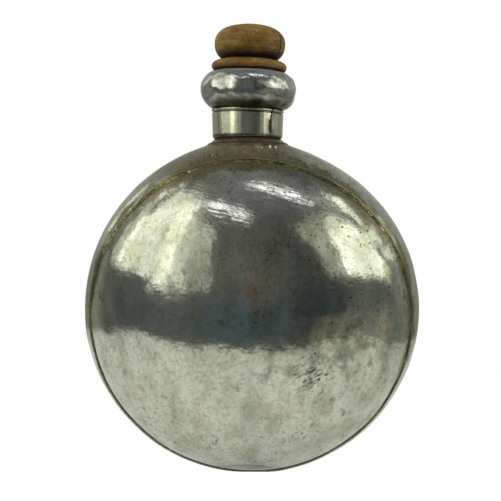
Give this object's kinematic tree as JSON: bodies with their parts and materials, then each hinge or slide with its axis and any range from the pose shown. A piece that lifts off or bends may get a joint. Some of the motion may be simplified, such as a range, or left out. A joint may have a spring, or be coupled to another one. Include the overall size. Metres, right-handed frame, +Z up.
{
  "type": "metal flask with wooden stopper",
  "caption": "Round moon-shaped metal flask with a lapped and soldered seam, a flared neck with a split collar, a hollow bulb at the mouth and a turned wooden stopper.",
  "frame": {"origin": "middle of the footprint, on the surface that the base flat rests on", "axes": "+Z up along the flask's height, +X to the right as seen from the front, and the front, with the seam, faces -Y"},
  "size_m": [0.18, 0.1206, 0.2404],
  "materials": {
    "tinned_sheet": "worn tinned sheet metal, satin with scratches and small pits",
    "tinned_neck": "worn tinned sheet metal, a little brighter from handling",
    "old_solder": "dull, olive-brown old solder",
    "turned_wood": "turned by hand, dry and worn, mid-brown"
  },
  "bodies": {
    "flask": {"front_shell": "tinned_sheet", "back_shell": "tinned_sheet", "seam_solder": "old_solder", "neck_tube": "tinned_neck", "foot_solder": "old_solder", "neck_collar": "tinned_neck", "collar_solder": "old_solder", "neck_bulb": "tinned_neck"},
    "stopper": {"stopper": "turned_wood"}
  },
  "joints": [
    {"name": "stopper_lift", "type": "slide", "parent": "flask", "child": "stopper", "axis": [0.0349, 0, 0.9994], "range_m": [0, 0.045]}
  ]
}
